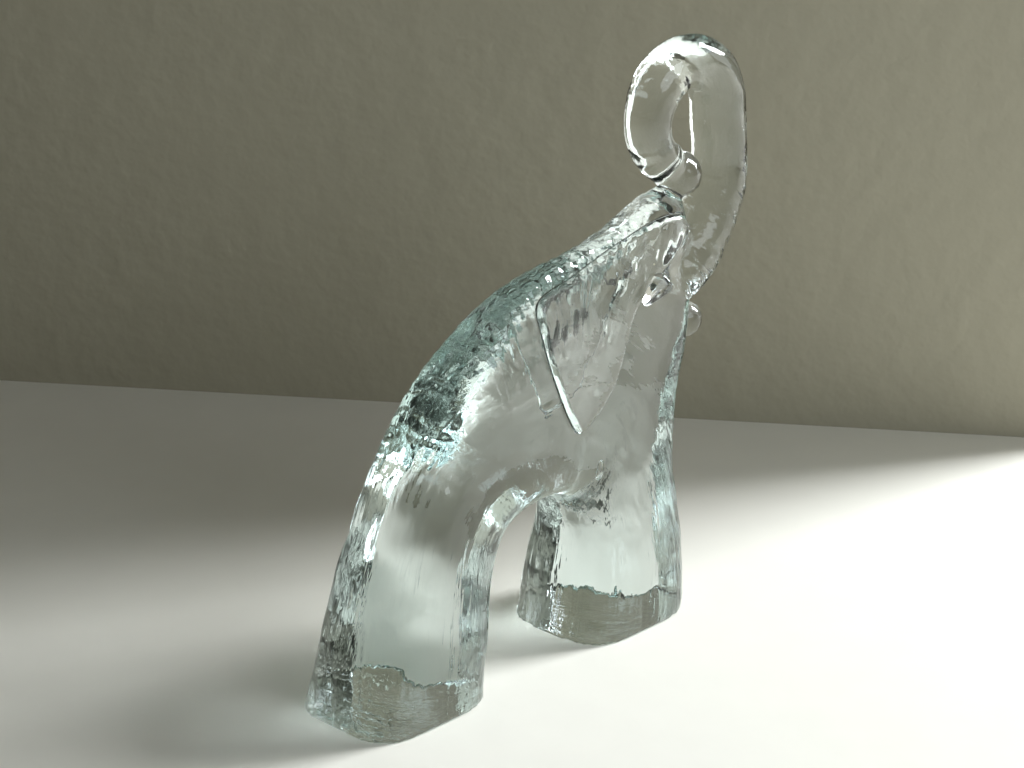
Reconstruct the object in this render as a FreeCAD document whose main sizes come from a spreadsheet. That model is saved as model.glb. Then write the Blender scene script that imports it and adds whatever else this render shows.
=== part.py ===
"""Clear glass elephant with a raised, curled trunk, as the gathers and bits of hot glass it is built from.

Frame: millimetres, +X is the way the elephant faces, +Y its left, +Z up, origin on the table under
the middle of the figure. Along X every place is first counted from the heel, the rearmost point of
the hind foot, and the solids are then set back by half of the overall length.

The body is one arch of glass. Hind leg, torso, head and front leg are lofts through cross-sections
called stations, which stand across the arch: each runs from a point on the arch opening (the belly
side) to a point on the outer line of the back, and is wide at the belly and narrow at the back.
"""

import FreeCAD
import Part

import math
import os

import Sketcher

DOC = FreeCAD.newDocument("glass_elephant")

# Sizes that can each be set by themselves, in millimetres, degrees or plain shares.
DRIVING = {
    # the two feet and the opening between them
    "foot_width": 26.4,
    "hind_foot_length": 29.5,
    "front_foot_length": 29.4,
    "arch_span": 25.1,
    "arch_height": 31.2,
    # rounding of a station's corners, as a share of its own half width there
    "belly_rounding": 0.5,
    "back_rounding": 0.75,
    # trunk: sweeps up from the head, rises with a slight lean and curls over onto the brow
    "trunk_sweep_radius": 22.2,
    "trunk_sweep_start": -80.0,
    "trunk_lean": 5.0,
    "trunk_rise": 9.0,
    "trunk_loop_radius": 9.9,
    "trunk_loop_end": 258.0,
    "trunk_loop_forward": 2.6,
    "trunk_rest_gap": 0.9,
    "trunk_root_radius": 5.9,
    "trunk_knee_radius": 5.6,
    "trunk_crest_radius": 5.3,
    "trunk_end_radius": 4.2,
    # bead that welds the trunk's end to the brow
    "weld_bead_radius": 4.9,
    "weld_bead_sink": 1.0,
    # lip bead in front of the throat
    "lip_radius": 3.6,
    "lip_forward": 1.9,
    "lip_drop": 3.8,
    # tusks beside the cheeks
    "tusk_length": 7.4,
    "tusk_root_radius": 2.2,
    "tusk_point_radius": 0.7,
    "tusk_behind_throat": 12.0,
    "tusk_above_throat": 8.8,
    "tusk_stand_off": 1.9,
    "tusk_droop": 20.0,
    # ears: pads of glass pressed onto the flanks
    "ear_thickness": 1.4,
    "ear_below_back": 2.4,
    "ear_rear_inset": 1.5,
    "ear_rear_bow": 44.0,
    "ear_point_behind_arch": 3.5,
    "ear_point_rise": 12.0,
    "ear_lobe_bow": 29.0,
    "ear_lobe_behind_throat": 18.5,
    "ear_lobe_rise": 4.5,
    "ear_cheek_behind_throat": 3.6,
    "ear_cheek_rise": 15.0,
}

HEEL = "0"
ARCH_REAR = "Sizes.hind_foot_length"
ARCH_MIDDLE = "(Sizes.hind_foot_length + Sizes.arch_span / 2)"
ARCH_FRONT = "(Sizes.hind_foot_length + Sizes.arch_span)"
TOE = "(Sizes.hind_foot_length + Sizes.arch_span + Sizes.front_foot_length)"
TABLE = "0"
CROWN = "Sizes.arch_height"

# Stations from the hind sole over the back to the front sole. Each has a belly point and a back
# point: what x is counted from and how far, what the height is counted from and how far, and the
# width there. The outer ends of the two soles are as wide as the feet.
STATIONS = {
    "hind_sole": ((ARCH_REAR, 0.0, TABLE, 0.0, 25.6), (HEEL, 0.0, TABLE, 0.0, "foot_width")),
    "shank": ((ARCH_REAR, 1.9, TABLE, 19.0, 24.4), (HEEL, 6.8, TABLE, 20.0, 24.8)),
    "hip": ((ARCH_REAR, 7.5, CROWN, -1.2, 22.8), (HEEL, 20.3, CROWN, 19.3, 19.6)),
    "rump": ((ARCH_MIDDLE, -0.05, CROWN, 0.0, 22.4), (ARCH_MIDDLE, -10.55, CROWN, 32.2, 15.6)),
    "saddle": ((ARCH_MIDDLE, 4.95, CROWN, 0.0, 22.0), (ARCH_MIDDLE, 3.45, CROWN, 40.4, 10.8)),
    "withers": ((ARCH_FRONT, -3.1, CROWN, -0.6, 21.6), (ARCH_FRONT, 6.4, CROWN, 43.6, 8.0)),
    "neck": ((ARCH_FRONT, 0.4, CROWN, -2.2, 21.2), (ARCH_FRONT, 20.4, CROWN, 47.8, 7.4)),
    "brow": ((ARCH_FRONT, 2.4, CROWN, -5.2, 21.2), (TOE, 4.5, CROWN, 49.0, 8.4)),
    "throat": ((ARCH_FRONT, 3.4, CROWN, -8.7, 21.6), (TOE, 6.5, CROWN, 26.8, 11.0)),
    "chest": ((ARCH_FRONT, 3.4, CROWN, -13.2, 22.4), (TOE, 0.0, CROWN, 6.8, 16.4)),
    "shin": ((ARCH_FRONT, 2.0, TABLE, 9.0, 25.6), (TOE, 0.0, TABLE, 16.0, 23.2)),
    "front_sole": ((ARCH_FRONT, 0.0, TABLE, 0.0, "foot_width"), (TOE, 0.0, TABLE, 0.0, 25.6)),
}

# The gathers that make the body, each between two stations that its neighbours share.
GATHERS = {
    "hind_leg": ("hind_sole", "shank", "hip"),
    "torso": ("hip", "rump", "saddle", "withers"),
    "head": ("withers", "neck", "brow", "throat", "chest"),
    "front_leg": ("chest", "shin", "front_sole"),
}

# Places worked out from the sizes: the trunk's path, from its curl back down to its root, its
# frontmost point, and the corners of an ear's outline.
DERIVED = {
    "curl_x": "brow_back_x + Sizes.trunk_loop_forward",
    "curl_z": "brow_back_z + Sizes.trunk_rest_gap + Sizes.trunk_end_radius + Sizes.trunk_loop_radius",
    "crest_x": "curl_x + Sizes.trunk_loop_radius * cos(Sizes.trunk_lean)",
    "crest_z": "curl_z + Sizes.trunk_loop_radius * sin(Sizes.trunk_lean)",
    "knee_x": "crest_x + Sizes.trunk_rise * sin(Sizes.trunk_lean)",
    "knee_z": "crest_z - Sizes.trunk_rise * cos(Sizes.trunk_lean)",
    "sweep_x": "knee_x - Sizes.trunk_sweep_radius * cos(Sizes.trunk_lean)",
    "sweep_z": "knee_z - Sizes.trunk_sweep_radius * sin(Sizes.trunk_lean)",
    "root_x": "sweep_x + Sizes.trunk_sweep_radius * cos(Sizes.trunk_sweep_start)",
    "root_z": "sweep_z + Sizes.trunk_sweep_radius * sin(Sizes.trunk_sweep_start)",
    "tip_x": "curl_x + Sizes.trunk_loop_radius * cos(Sizes.trunk_loop_end)",
    "tip_z": "curl_z + Sizes.trunk_loop_radius * sin(Sizes.trunk_loop_end)",
    "middle_x": "(sweep_x + Sizes.trunk_sweep_radius + Sizes.trunk_knee_radius) / 2",
    "ear_rear_x": "saddle_back_x + Sizes.ear_rear_inset",
    "ear_rear_z": "saddle_back_z - Sizes.ear_below_back",
    "ear_withers_x": "withers_back_x",
    "ear_withers_z": "withers_back_z - Sizes.ear_below_back",
    "ear_neck_x": "neck_back_x",
    "ear_neck_z": "neck_back_z - Sizes.ear_below_back",
    "ear_brow_x": "brow_back_x - Sizes.ear_below_back",
    "ear_brow_z": "brow_back_z - Sizes.ear_below_back",
    "ear_cheek_x": "throat_back_x - Sizes.ear_cheek_behind_throat",
    "ear_cheek_z": "throat_back_z + Sizes.ear_cheek_rise",
    "ear_lobe_x": "throat_back_x - Sizes.ear_lobe_behind_throat",
    "ear_lobe_z": "throat_back_z + Sizes.ear_lobe_rise",
    "ear_point_x": f"{ARCH_FRONT} - Sizes.ear_point_behind_arch",
    "ear_point_z": f"{CROWN} + Sizes.ear_point_rise",
}

# An ear's corners in order, and the radius of the bowed edge that leaves a corner, if it has one.
EAR_CORNERS = ("ear_rear", "ear_point", "ear_lobe", "ear_cheek", "ear_brow", "ear_neck", "ear_withers")
EAR_BOWS = {"ear_rear": "ear_rear_bow", "ear_point": "ear_lobe_bow"}

SIDES = {"right": -1, "left": 1}
UP_AND_BACK = FreeCAD.Vector(0, -1, 0)
DOWN_AND_BACK = FreeCAD.Vector(0, 1, 0)
START, END, CENTRE = 1, 2, 3
X_AXIS, Y_AXIS, ORIGIN = -1, -2, (-1, 1)


def vector(x, y=0.0, z=0.0):
    """A FreeCAD vector."""
    return FreeCAD.Vector(x, y, z)


def station_rows():
    """The stations' own sizes, as driving rows, and their corners' places, as derived rows."""
    sizes, places = {}, {}
    for name, points in STATIONS.items():
        for side, (x_from, x, z_from, z, width) in zip(("belly", "back"), points):
            key = f"{name}_{side}"
            sizes[f"{key}_run"] = x
            sizes[f"{key}_lift"] = z
            places[f"{key}_x"] = f"{x_from} + Sizes.{key}_run"
            places[f"{key}_z"] = f"{z_from} + Sizes.{key}_lift"
            if isinstance(width, str):
                places[f"{key}_half"] = f"Sizes.{width} / 2"
            else:
                sizes[f"{key}_width"] = width
                places[f"{key}_half"] = f"Sizes.{key}_width / 2"
        run = f"({name}_back_x - {name}_belly_x)"
        lift = f"({name}_back_z - {name}_belly_z)"
        places[f"{name}_reach"] = f"sqrt({run}^2 + {lift}^2)"
        places[f"{name}_tilt"] = f"atan2({lift}; {run})"
    return sizes, places


def fill_sheet(name, rows):
    """A sheet with a name in column A and the cell that it is the alias of in column B."""
    sheet = DOC.addObject("Spreadsheet::Sheet", name)
    for row, (alias, content) in enumerate(rows.items(), start=1):
        sheet.set(f"A{row}", alias)
        sheet.set(f"B{row}", str(content))
        sheet.setAlias(f"B{row}", alias)
    DOC.recompute()
    return sheet


def number(sheet, alias):
    """The plain number that a cell holds now."""
    content = getattr(sheet, alias)
    return float(getattr(content, "Value", content))


def new_body(label):
    """A PartDesign body set back so that the origin is under the middle of the figure."""
    body = DOC.addObject("PartDesign::Body", label)
    body.Label = label
    body.setExpression("Placement.Base.x", "-Places.middle_x")
    return body


def new_sketch(body, label, role):
    """A sketch on one of the body's own origin planes."""
    sketch = body.newObject("Sketcher::SketchObject", label)
    plane = next(feature for feature in body.Origin.OriginFeatures if feature.Role == role)
    sketch.AttachmentSupport = [(plane, "")]
    sketch.MapMode = "FlatFace"
    return sketch


def stand_sketch(sketch, place_name, axis, angle, tilt):
    """Put a sketch at a place in the middle plane, turned about the width by a bound angle."""
    start = vector(number(PLACES, f"{place_name}_x"), 0.0, number(PLACES, f"{place_name}_z"))
    sketch.AttachmentOffset = FreeCAD.Placement(start, FreeCAD.Rotation(axis, tilt))
    sketch.setExpression("AttachmentOffset.Base.x", f"Places.{place_name}_x")
    sketch.setExpression("AttachmentOffset.Base.z", f"Places.{place_name}_z")
    sketch.setExpression("AttachmentOffset.Rotation.Angle", angle)


def bind(sketch, kind, *what, to):
    """Add a dimension to a sketch and bind it to an expression."""
    index = sketch.addConstraint(Sketcher.Constraint(kind, *what))
    sketch.setExpression(f"Constraints[{index}]", to)


def tie(sketch, kind, *what):
    """Add a geometric constraint to a sketch."""
    sketch.addConstraint(Sketcher.Constraint(kind, *what))


def rounded_corner(before, corner, after, radius):
    """Start, middle and end of the arc that rounds a corner between two straight sides."""
    towards_before = (before - corner).normalize()
    towards_after = (after - corner).normalize()
    half_angle = towards_before.getAngle(towards_after) / 2
    bisector = (towards_before + towards_after).normalize()
    centre = corner + bisector * (radius / math.sin(half_angle))
    cut = radius / math.tan(half_angle)
    return corner + towards_before * cut, centre - bisector * radius, corner + towards_after * cut


def station_sketch(body, station, swell):
    """A rounded trapezoid from the belly (sketch x = 0) out to the back, swollen on both flanks."""
    sketch = new_sketch(body, f"{body.Label}_{station}", "XY_Plane")
    tilt = number(PLACES, f"{station}_tilt")
    stand_sketch(sketch, f"{station}_belly", UP_AND_BACK, f"Places.{station}_tilt", tilt)
    swollen = number(SIZES, swell) if swell else 0.0
    extra = f" + Sizes.{swell}" if swell else ""
    reach = number(PLACES, f"{station}_reach")
    belly_half = number(PLACES, f"{station}_belly_half") + swollen
    back_half = number(PLACES, f"{station}_back_half") + swollen
    belly_radius = belly_half * number(SIZES, "belly_rounding")
    back_radius = back_half * number(SIZES, "back_rounding")

    corners = [
        vector(0, belly_half),
        vector(0, -belly_half),
        vector(reach, -back_half),
        vector(reach, back_half),
    ]
    radii = [belly_radius, belly_radius, back_radius, back_radius]
    count = len(corners)
    arcs = [
        rounded_corner(corners[i - 1], corners[i], corners[(i + 1) % count], radii[i]) for i in range(count)
    ]
    for i, (start, middle, end) in enumerate(arcs):
        sketch.addGeometry(Part.Arc(start, middle, end), False)
        sketch.addGeometry(Part.LineSegment(end, arcs[(i + 1) % count][0]), False)
    for i in range(count):
        arc, side = 2 * i, 2 * i + 1
        tie(sketch, "Tangent", arc, END, side, START)
        tie(sketch, "Tangent", side, END, (arc + 2) % (2 * count), START)

    belly_side, back_side, upper_flank = 1, 5, 7
    tie(sketch, "Symmetric", belly_side, START, belly_side, END, X_AXIS)
    tie(sketch, "Symmetric", back_side, START, back_side, END, X_AXIS)
    tie(sketch, "PointOnObject", belly_side, START, Y_AXIS)
    bind(sketch, "DistanceX", back_side, START, reach, to=f"Places.{station}_reach")

    belly_to = f"Places.{station}_belly_half{extra}"
    back_to = f"Places.{station}_back_half{extra}"
    for i, radius in enumerate(radii):
        half, share = (belly_to, "belly_rounding") if i < 2 else (back_to, "back_rounding")
        bind(sketch, "Radius", 2 * i, radius, to=f"({half}) * Sizes.{share}")
    ends = (
        (corners[0], Y_AXIS, belly_half, belly_to),
        (corners[3], back_side, back_half, back_to),
    )
    for corner, side, half, to in ends:
        point = sketch.addGeometry(Part.Point(corner), True)
        tie(sketch, "PointOnObject", point, START, side)
        tie(sketch, "PointOnObject", point, START, upper_flank)
        bind(sketch, "DistanceY", point, START, half, to=to)
    return sketch


def gather(label, stations, swell=None):
    """One gather of glass: a loft through its stations."""
    body = new_body(label)
    sketches = [station_sketch(body, station, swell) for station in stations]
    DOC.recompute()
    loft = body.newObject("PartDesign::AdditiveLoft", f"{label}_loft")
    loft.Profile = sketches[0]
    loft.Sections = sketches[1:]
    loft.Ruled = False
    return body


def trunk_path(body):
    """The trunk's middle line: a sweep, a short straight rise and the curl, all tangent."""
    sketch = new_sketch(body, "trunk_path", "XZ_Plane")

    def arc(centre, radius, start, end):
        """An arc of the middle line round a centre in the places sheet."""
        return Part.Arc(*(
            vector(
                number(PLACES, f"{centre}_x") + radius * math.cos(math.radians(angle)),
                number(PLACES, f"{centre}_z") + radius * math.sin(math.radians(angle)),
            )
            for angle in (start, (start + end) / 2, end)
        ))

    lean = number(SIZES, "trunk_lean")
    knee = vector(number(PLACES, "knee_x"), number(PLACES, "knee_z"))
    crest = vector(number(PLACES, "crest_x"), number(PLACES, "crest_z"))
    sweep_radius, curl_radius = number(SIZES, "trunk_sweep_radius"), number(SIZES, "trunk_loop_radius")
    sweep = sketch.addGeometry(arc("sweep", sweep_radius, number(SIZES, "trunk_sweep_start"), lean), False)
    rise = sketch.addGeometry(Part.LineSegment(knee, crest), False)
    curl = sketch.addGeometry(arc("curl", curl_radius, lean, number(SIZES, "trunk_loop_end")), False)
    tie(sketch, "Tangent", sweep, END, rise, START)
    tie(sketch, "Tangent", rise, END, curl, START)
    bind(sketch, "Radius", sweep, sweep_radius, to="Sizes.trunk_sweep_radius")
    bind(sketch, "Radius", curl, curl_radius, to="Sizes.trunk_loop_radius")
    for geometry, end, name in ((rise, START, "knee"), (rise, END, "crest")):
        for kind, letter in (("DistanceX", "x"), ("DistanceY", "z")):
            bind(sketch, kind, geometry, end, number(PLACES, f"{name}_{letter}"), to=f"Places.{name}_{letter}")
    bind(sketch, "DistanceX", sweep, START, number(PLACES, "root_x"), to="Places.root_x")
    bind(sketch, "DistanceX", curl, END, number(PLACES, "tip_x"), to="Places.tip_x")
    return sketch


def trunk_ring(body, name, axis, angle, tilt):
    """A round section of the trunk, square to its path."""
    sketch = new_sketch(body, f"trunk_{name}", "XY_Plane")
    stand_sketch(sketch, name, axis, angle, tilt)
    key = "end" if name == "tip" else name
    radius = number(SIZES, f"trunk_{key}_radius")
    ring = sketch.addGeometry(Part.Circle(vector(0), vector(0, 0, 1), radius), False)
    tie(sketch, "Coincident", ring, CENTRE, *ORIGIN)
    bind(sketch, "Radius", ring, radius, to=f"Sizes.trunk_{key}_radius")
    return sketch


def trunk_rod():
    """The whole tapering rod of the trunk, its root still running into the head."""
    body = new_body("trunk_rod")
    path = trunk_path(body)
    lean = number(SIZES, "trunk_lean")
    start = -number(SIZES, "trunk_sweep_start")
    end = 360 - number(SIZES, "trunk_loop_end")
    rings = [
        trunk_ring(body, "root", DOWN_AND_BACK, "-Sizes.trunk_sweep_start", start),
        trunk_ring(body, "knee", UP_AND_BACK, "Sizes.trunk_lean", lean),
        trunk_ring(body, "crest", UP_AND_BACK, "Sizes.trunk_lean", lean),
        trunk_ring(body, "tip", DOWN_AND_BACK, "360 - Sizes.trunk_loop_end", end),
    ]
    DOC.recompute()
    pipe = body.newObject("PartDesign::AdditivePipe", "trunk_pipe")
    pipe.Profile = rings[0]
    pipe.Spine = path
    pipe.Transformation = "Multisection"
    pipe.Sections = rings[1:]
    return body


def bead(label, radius, x, z):
    """A round bead of glass in the middle plane."""
    ball = DOC.addObject("Part::Sphere", label)
    ball.setExpression("Radius", f"Sizes.{radius}")
    ball.setExpression("Placement.Base.x", f"{x} - Places.middle_x")
    ball.setExpression("Placement.Base.z", z)
    return ball


def tusk_rod(label, side):
    """A tusk before it is trimmed: a cone that points back and a little down along the cheek."""
    cone = DOC.addObject("Part::Cone", label)
    cone.setExpression("Radius1", "Sizes.tusk_root_radius")
    cone.setExpression("Radius2", "Sizes.tusk_point_radius")
    cone.setExpression("Height", "Sizes.tusk_length")
    cone.Placement = FreeCAD.Placement(vector(0), FreeCAD.Rotation(UP_AND_BACK, 90 + number(SIZES, "tusk_droop")))
    cone.setExpression("Placement.Rotation.Angle", "90 + Sizes.tusk_droop")
    cone.setExpression("Placement.Base.x", "Places.throat_back_x - Sizes.tusk_behind_throat - Places.middle_x")
    cone.setExpression("Placement.Base.y", f"{side} * (Places.throat_back_half + Sizes.tusk_stand_off)")
    cone.setExpression("Placement.Base.z", "Places.throat_back_z + Sizes.tusk_above_throat")
    return cone


def bowed_edge(start, end, radius):
    """An arc from one corner to the next that bows outwards, with the outline running round by the left."""
    chord = end - start
    outward = vector(chord.y, -chord.x).normalize()
    sagitta = radius - math.sqrt(radius**2 - (chord.Length / 2) ** 2)
    return Part.Arc(start, (start + end) * 0.5 + outward * sagitta, end)


def ear_blank(label, side):
    """A slab with the ear's outline that reaches from the middle plane out past the flank."""
    body = new_body(label)
    sketch = new_sketch(body, f"{label}_outline", "XZ_Plane")
    corners = [vector(number(PLACES, f"{name}_x"), number(PLACES, f"{name}_z")) for name in EAR_CORNERS]
    count = len(corners)
    for i, name in enumerate(EAR_CORNERS):
        after = corners[(i + 1) % count]
        if name in EAR_BOWS:
            radius = number(SIZES, EAR_BOWS[name])
            sketch.addGeometry(bowed_edge(corners[i], after, radius), False)
            bind(sketch, "Radius", i, radius, to=f"Sizes.{EAR_BOWS[name]}")
        else:
            sketch.addGeometry(Part.LineSegment(corners[i], after), False)
    for i, name in enumerate(EAR_CORNERS):
        tie(sketch, "Coincident", i - 1 if i else count - 1, END, i, START)
        bind(sketch, "DistanceX", i, START, corners[i].x, to=f"Places.{name}_x")
        bind(sketch, "DistanceY", i, START, corners[i].y, to=f"Places.{name}_z")
    DOC.recompute()
    pad = body.newObject("PartDesign::Pad", f"{label}_pad")
    pad.Profile = sketch
    pad.setExpression("Length", "Sizes.foot_width")
    pad.Reversed = side > 0
    return body


def fused(label, parts):
    """Several solids as one tool for trimming others."""
    fusion = DOC.addObject("Part::MultiFuse", label)
    fusion.Shapes = parts
    return fusion


def trimmed(label, base, tool):
    """A piece cut back to the surface of the glass it is pressed onto."""
    cut = DOC.addObject("Part::Cut", label)
    cut.Label = label
    cut.Base = base
    cut.Tool = tool
    return cut


def build_nodes():
    """Every node of the figure, by name."""
    nodes = {label: gather(label, stations) for label, stations in GATHERS.items()}
    flanks = fused("flanks", [nodes["torso"], nodes["head"]])
    limits = [gather(f"{label}_swollen", GATHERS[label], swell="ear_thickness") for label in ("torso", "head")]
    ear_limit = fused("ear_limit", limits)

    nodes["trunk"] = trimmed("trunk", trunk_rod(), nodes["head"])
    tip = bead(
        "weld_ball",
        "weld_bead_radius",
        "Places.tip_x",
        "Places.tip_z - Sizes.weld_bead_sink",
    )
    nodes["trunk_tip"] = trimmed("trunk_tip", tip, fused("brow_and_trunk", [nodes["head"], nodes["trunk"]]))
    lip = bead(
        "lip_ball",
        "lip_radius",
        "Places.throat_back_x + Sizes.lip_forward",
        "Places.throat_back_z - Sizes.lip_drop",
    )
    nodes["lower_lip"] = trimmed("lower_lip", lip, nodes["head"])

    for name, side in SIDES.items():
        blank = ear_blank(f"{name}_ear_blank", side)
        pressed = DOC.addObject("Part::MultiCommon", f"{name}_ear_pad")
        pressed.Shapes = [blank, ear_limit]
        nodes[f"{name}_ear"] = trimmed(f"{name}_ear", pressed, flanks)
        cheek = fused(f"{name}_cheek", [nodes["head"], nodes[f"{name}_ear"]])
        nodes[f"{name}_tusk"] = trimmed(f"{name}_tusk", tusk_rod(f"{name}_tusk_rod", side), cheek)
    DOC.recompute()
    return nodes


def check(nodes):
    """Stop if any object failed to compute, or a node is missing, broken or not one solid."""
    for item in DOC.Objects:
        if {"Invalid", "Error"} & set(item.State):
            raise RuntimeError(f"{item.Label} did not compute: {item.State}")
    for label, node in nodes.items():
        shape = node.Shape
        if shape.isNull() or not shape.isValid() or len(shape.Solids) != 1:
            raise RuntimeError(f"{label} is not one valid solid")


def write(nodes):
    """One STEP file for each node."""
    os.makedirs("parts", exist_ok=True)
    for label, node in nodes.items():
        node.Shape.exportStep(f"parts/{label}.step")
        box = node.Shape.BoundBox
        print(f"{label}: {node.Shape.Volume:.0f} mm3, x {box.XMin:.1f} to {box.XMax:.1f}, top {box.ZMax:.1f}")


STATION_SIZES, STATION_PLACES = station_rows()
SIZES = fill_sheet("Sizes", {**DRIVING, **STATION_SIZES})
FORMULAS = {**STATION_PLACES, **DERIVED}
PLACES = fill_sheet("Places", {alias: f"={formula}" for alias, formula in FORMULAS.items()})
NODES = build_nodes()
check(NODES)
write(NODES)
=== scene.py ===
"""Clear glass elephant figurine: the looks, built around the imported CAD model.

Frame: metres, +X is the way the elephant faces, +Y its left, +Z up, origin on the table under the
middle of the figure. Shapes are worked out in millimetres counted along X from the heel, the
rearmost point of the hind foot, and are moved to the frame when a mesh is made.
"""

import math

import bpy
import numpy as np
from bpy.props import FloatProperty, FloatVectorProperty, IntProperty, PointerProperty
from bpy.types import Operator, Panel, PropertyGroup
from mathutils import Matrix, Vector


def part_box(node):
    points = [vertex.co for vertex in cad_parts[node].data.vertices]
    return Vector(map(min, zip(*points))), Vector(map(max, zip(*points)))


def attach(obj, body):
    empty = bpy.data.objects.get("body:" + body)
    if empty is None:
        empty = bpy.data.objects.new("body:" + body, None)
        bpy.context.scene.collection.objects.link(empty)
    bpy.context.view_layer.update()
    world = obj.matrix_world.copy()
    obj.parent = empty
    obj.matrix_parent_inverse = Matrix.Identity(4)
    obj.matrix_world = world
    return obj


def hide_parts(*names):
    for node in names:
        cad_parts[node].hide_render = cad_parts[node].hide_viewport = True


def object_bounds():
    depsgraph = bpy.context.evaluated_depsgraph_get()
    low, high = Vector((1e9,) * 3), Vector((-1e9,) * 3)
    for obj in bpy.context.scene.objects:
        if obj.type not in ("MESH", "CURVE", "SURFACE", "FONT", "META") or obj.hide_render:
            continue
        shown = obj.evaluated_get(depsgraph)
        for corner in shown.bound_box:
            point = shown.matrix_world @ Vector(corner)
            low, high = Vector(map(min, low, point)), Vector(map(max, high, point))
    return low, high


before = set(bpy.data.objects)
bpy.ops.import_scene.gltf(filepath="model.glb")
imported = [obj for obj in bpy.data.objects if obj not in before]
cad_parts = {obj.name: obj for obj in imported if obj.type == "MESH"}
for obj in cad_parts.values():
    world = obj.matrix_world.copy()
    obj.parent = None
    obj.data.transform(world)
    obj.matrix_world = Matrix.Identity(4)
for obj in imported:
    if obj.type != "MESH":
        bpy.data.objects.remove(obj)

bl_info = {
    "name": "Glass Elephant",
    "version": (1, 0, 0),
    "blender": (4, 5, 0),
    "location": "View3D > Sidebar > Glass Elephant",
    "description": "Builds a clear glass elephant figurine and the stage that it stands on",
    "category": "Add Mesh",
}

CAD_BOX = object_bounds()
MM = 0.001
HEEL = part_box("hind_leg")[0].x

# Cross-sections across the arch of the body, from the hind sole over the back to the front sole:
# belly x and z, back x and z, then half the width at the belly and at the back. Millimetres.
STATIONS = np.array([
    (29.5, 0.0, 0.0, 0.0, 12.7, 13.1),
    (30.4, 9.0, 3.4, 9.0, 12.5, 12.9),
    (31.4, 19.0, 6.8, 20.0, 12.2, 12.4),
    (33.2, 26.5, 12.2, 34.0, 11.8, 11.4),
    (37.0, 30.0, 20.3, 50.5, 11.4, 9.8),
    (42.0, 31.2, 31.5, 63.4, 11.2, 7.8),
    (47.0, 31.2, 45.5, 71.6, 11.0, 5.4),
    (51.5, 30.6, 61.0, 74.8, 10.8, 4.0),
    (55.0, 29.0, 75.0, 79.0, 10.6, 3.7),
    (57.0, 26.0, 88.5, 80.0, 10.6, 4.2),
    (58.0, 22.5, 90.4, 58.0, 10.8, 5.5),
    (58.0, 18.0, 84.0, 38.0, 11.2, 8.2),
    (56.6, 9.0, 84.0, 16.0, 12.7, 11.6),
    (54.6, 0.0, 84.0, 0.0, 13.1, 12.7),
])
SQUARENESS = 3.6

# An ear's outline on the flank, x and z, clockwise from the top of its rear edge. Millimetres.
EAR_OUTLINE = np.array([
    (47.2, 69.2), (46.4, 63.0), (48.6, 53.5), (51.2, 46.8), (53.3, 43.6), (56.0, 44.0),
    (60.2, 46.2), (64.4, 50.2), (67.9, 55.8), (70.9, 61.4), (74.6, 65.0), (80.4, 68.6),
    (85.9, 72.2), (88.3, 75.4), (86.6, 77.6), (80.0, 77.6), (70.0, 75.0), (58.0, 71.8),
])
EAR_CENTRE = np.array([62.0, 63.5])
# Its edge is a quarter round this wide, and wider by this much where it sinks softly into the cheek:
# forward of this range of x and below this range of z.
EAR_EDGE = 1.1
EAR_SOFT_EDGE = 3.2
EAR_SOFT_X = (52, 60)
EAR_SOFT_Z = (64, 70)

# The trunk's middle line: an arc up from the throat, a short straight and the curl. Millimetres.
TRUNK_CURL = np.array([91.1, 95.2])
TRUNK_CURL_RADIUS = 9.9
TRUNK_SWEEP_RADIUS = 22.2
TRUNK_RISE = 9.0
TRUNK_LEAN = math.radians(5)
TRUNK_START = math.radians(-80)
TRUNK_END = math.radians(260)
TRUNK_SHARES = (0.0, 0.35, 0.65, 0.8, 1.0)
TRUNK_RADII = (6.5, 5.5, 5.3, 4.7, 4.2)
# How long its end domes are, as a share of its radius there.
TRUNK_DOME = 0.9

# The bead that welds the trunk to the brow, the tusk of the left side, the bead of the lower lip and the
# air bubble in the front leg. Millimetres.
WELD_CENTRE = (89.6, 0.0, 84.0)
WELD_RADII = (4.8, 4.6, 4.4)
TUSK_ROOT = (78.6, 7.3, 67.2)
TUSK_TIP = (71.6, 8.0, 63.9)
LIP_CENTRE = (92.6, 0.0, 54.2)
BUBBLE_CENTRE = (61.0, -6.0, 34.0)
BUBBLE_RADII = (1.0, 0.9, 2.0)
# A tusk swells over the first share of its length, narrows by a share in all, and closes over its tip
# from the last share on. Three flats press it in by a share of its radius.
TUSK_SWELL = 0.22
TUSK_NARROWING = 0.72
TUSK_CLOSE = 0.9
TUSK_FLATS = 0.09

# Where the marks of hot working begin and end. Along the arch, counted in stations:
SHOULDER = ((3.2, 4.2), (7.6, 8.6))
CROWN = ((7.0, 8.0), (9.0, 9.6))
ARCH = ((3.4, 4.4), (8.6, 9.4))
HIND_LEG_END = (2.6, 4.0)
FRONT_LEG_START = (9.8, 11.0)
# From belly to back, in shares of the way:
BELLY_SIDE = (0.04, 0.3)
BACK_SIDE = (0.45, 0.85)
SPINE = (0.86, 0.97)
# In height, in millimetres:
SOLE = (0.3, 3.0)
BODY_TOP = (80, 83)
# How strong the ribs on the crown and on the belly are, beside those on the shoulder:
CROWN_SHARE = 0.5
BELLY_SHARE = 0.6

# How fine the streaks in the skin are: per metre along the arch, from belly to back, and across.
RIB_STREAKS = (620, 90, 90)
DRAW_STREAKS = (45, 620, 620)
FLOW_STREAKS = (55, 230, 230)
FLOW_WEIGHT = 1.1
BODY_PEEL = (420, 420, 420)
BODY_PEEL_WEIGHT = 0.12
BEAD_PEEL = (260, 260, 260)
BEAD_PEEL_WEIGHT = 0.3

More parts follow.
